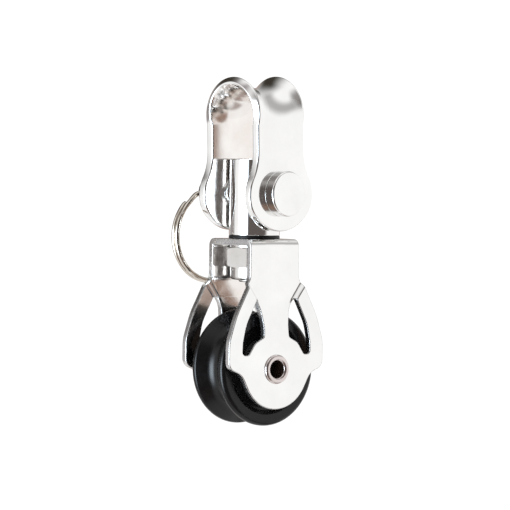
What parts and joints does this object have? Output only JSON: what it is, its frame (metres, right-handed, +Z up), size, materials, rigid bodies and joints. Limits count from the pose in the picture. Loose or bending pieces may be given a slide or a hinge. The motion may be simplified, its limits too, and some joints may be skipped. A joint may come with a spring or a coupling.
{
  "type": "single sheave block",
  "caption": "Swivel-head pulley block: black grooved sheave in a bent polished-steel cheek strap, hung from a flared bow shackle with a clevis pin and split ring.",
  "frame": {"origin": "centre of the sheave, on the axis of its hollow axle", "axes": "+X along the axle towards the side that the clevis pin's head is on, +Y across the block, +Z up through the swivel"},
  "size_m": [0.0319, 0.0308, 0.0914],
  "materials": {
    "polished_steel": "mirror-polished stainless steel",
    "turned_steel": "bright turned stainless steel",
    "ring_wire": "bright drawn stainless wire",
    "black_sheave": "semi-gloss moulded black plastic",
    "plain_bearing": "natural bearing plastic",
    "black_washer": "black bearing plastic"
  },
  "bodies": {
    "shackle": {"shackle_strap": "polished_steel"},
    "pin": {"clevis_pin": "polished_steel"},
    "ring": {"split_ring": "ring_wire"},
    "post": {"swivel_post": "polished_steel", "lock_nut": "turned_steel", "lock_nut_insert": "plain_bearing"},
    "frame": {"cheek_strap": "polished_steel", "axle_tube": "turned_steel", "axle_sleeve": "turned_steel", "side_washer_near": "plain_bearing", "side_washer_far": "plain_bearing", "swivel_washer": "black_washer", "nut_washer": "turned_steel"},
    "wheel": {"sheave": "black_sheave", "sheave_bush": "plain_bearing"}
  },
  "joints": [
    {"name": "post_toggle", "type": "hinge", "parent": "shackle", "child": "post", "pos_m": [0, 0, 0.04549], "axis": [0.9914, 0.1305, 0], "range_deg": [-88, 88]},
    {"name": "swivel", "type": "hinge", "parent": "post", "child": "frame", "pos_m": [0, 0, 0.03366], "axis": [0, 0, 1], "continuous": true},
    {"name": "sheave_spin", "type": "hinge", "parent": "frame", "child": "wheel", "pos_m": [0, 0, 0], "axis": [1, 0, 0], "continuous": true},
    {"name": "pin_turn", "type": "hinge", "parent": "shackle", "child": "pin", "pos_m": [0, 0, 0.04549], "axis": [0.9914, 0.1305, 0], "continuous": true},
    {"name": "ring_swing", "type": "hinge", "parent": "pin", "child": "ring", "pos_m": [-0.01552, -0.00204, 0.04549], "axis": [-0.1302, 0.9891, -0.0692], "range_deg": [-2, 178]}
  ]
}
